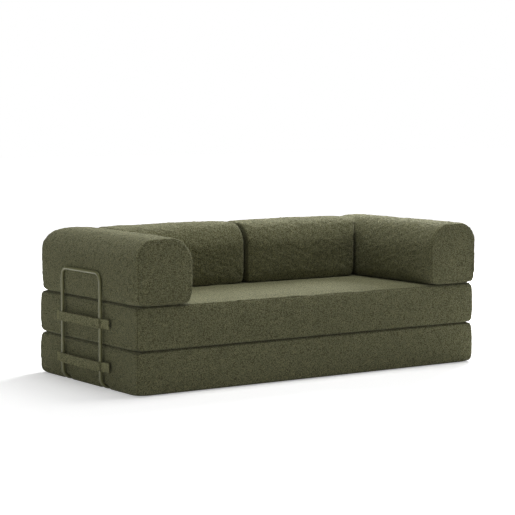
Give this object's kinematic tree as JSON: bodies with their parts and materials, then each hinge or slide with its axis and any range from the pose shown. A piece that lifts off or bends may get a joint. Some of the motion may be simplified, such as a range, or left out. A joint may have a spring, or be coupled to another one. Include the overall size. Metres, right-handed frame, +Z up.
{
  "type": "sofa bed",
  "caption": "Fold-out sofa bed of upholstered foam: hinged mattress layers, loose arm and back cushions, and bent-tube brackets strapped to the sides and rear.",
  "frame": {"origin": "on the floor, under the middle of the whole piece with its rear brackets", "axes": "+X along the seat, towards the sitter's left; +Y towards the rear; +Z up"},
  "size_m": [2.0596, 0.9958, 0.723],
  "materials": {
    "teddy_cloth": "matte",
    "foam": "matte",
    "green_paint": "satin",
    "cap_plastic": "matte",
    "zip": "matte",
    "hook_tape": "matte",
    "grip_pad": "matte"
  },
  "bodies": {
    "seat": {"seat_foam": "foam", "seat_cover": "teddy_cloth", "seat_zip": "zip", "fold_hinge": "teddy_cloth"},
    "base": {"base_foam": "foam", "base_cover": "teddy_cloth", "base_zip": "zip", "base_grip_pad": "grip_pad"},
    "left_arm": {"left_arm_foam": "foam", "left_arm_cover": "teddy_cloth", "left_arm_zip": "zip"},
    "right_arm": {"right_arm_foam": "foam", "right_arm_cover": "teddy_cloth", "right_arm_zip": "zip"},
    "left_back": {"left_back_foam": "foam", "left_back_cover": "teddy_cloth", "left_back_zip": "zip"},
    "right_back": {"right_back_foam": "foam", "right_back_cover": "teddy_cloth", "right_back_zip": "zip"},
    "left_bracket": {"left_tube": "green_paint", "left_caps": "cap_plastic", "left_upper_strap": "teddy_cloth", "left_lower_strap": "teddy_cloth", "left_hook_tapes": "hook_tape"},
    "right_bracket": {"right_tube": "green_paint", "right_caps": "cap_plastic", "right_upper_strap": "teddy_cloth", "right_lower_strap": "teddy_cloth", "right_hook_tapes": "hook_tape"},
    "rear_left_bracket": {"rear_left_tube": "green_paint", "rear_left_caps": "cap_plastic", "rear_left_upper_strap": "teddy_cloth", "rear_left_lower_strap": "teddy_cloth", "rear_left_hook_tapes": "hook_tape"},
    "rear_right_bracket": {"rear_right_tube": "green_paint", "rear_right_caps": "cap_plastic", "rear_right_upper_strap": "teddy_cloth", "rear_right_lower_strap": "teddy_cloth", "rear_right_hook_tapes": "hook_tape"}
  },
  "joints": [
    {"name": "fold", "type": "hinge", "parent": "seat", "child": "base", "pos_m": [0, -0.4924, 0.205], "axis": [-1, 0, 0], "range_deg": [0, 180], "deforming": ["fold_hinge"]},
    {"name": "left_arm_lift", "type": "slide", "parent": "seat", "child": "left_arm", "axis": [0, 0, 1], "range_m": [0, 0.4]},
    {"name": "right_arm_lift", "type": "slide", "parent": "seat", "child": "right_arm", "axis": [0, 0, 1], "range_m": [0, 0.4]},
    {"name": "left_back_lift", "type": "slide", "parent": "seat", "child": "left_back", "axis": [0, 0, 1], "range_m": [0, 0.4]},
    {"name": "right_back_lift", "type": "slide", "parent": "seat", "child": "right_back", "axis": [0, 0, 1], "range_m": [0, 0.4]},
    {"name": "left_bracket_pull", "type": "slide", "parent": "base", "child": "left_bracket", "axis": [-1, 0, 0], "range_m": [0, 0.26]},
    {"name": "right_bracket_pull", "type": "slide", "parent": "base", "child": "right_bracket", "axis": [1, 0, 0], "range_m": [0, 0.26]},
    {"name": "rear_left_bracket_pull", "type": "slide", "parent": "base", "child": "rear_left_bracket", "axis": [0, 1, 0], "range_m": [0, 0.26]},
    {"name": "rear_right_bracket_pull", "type": "slide", "parent": "base", "child": "rear_right_bracket", "axis": [0, 1, 0], "range_m": [0, 0.26]}
  ]
}
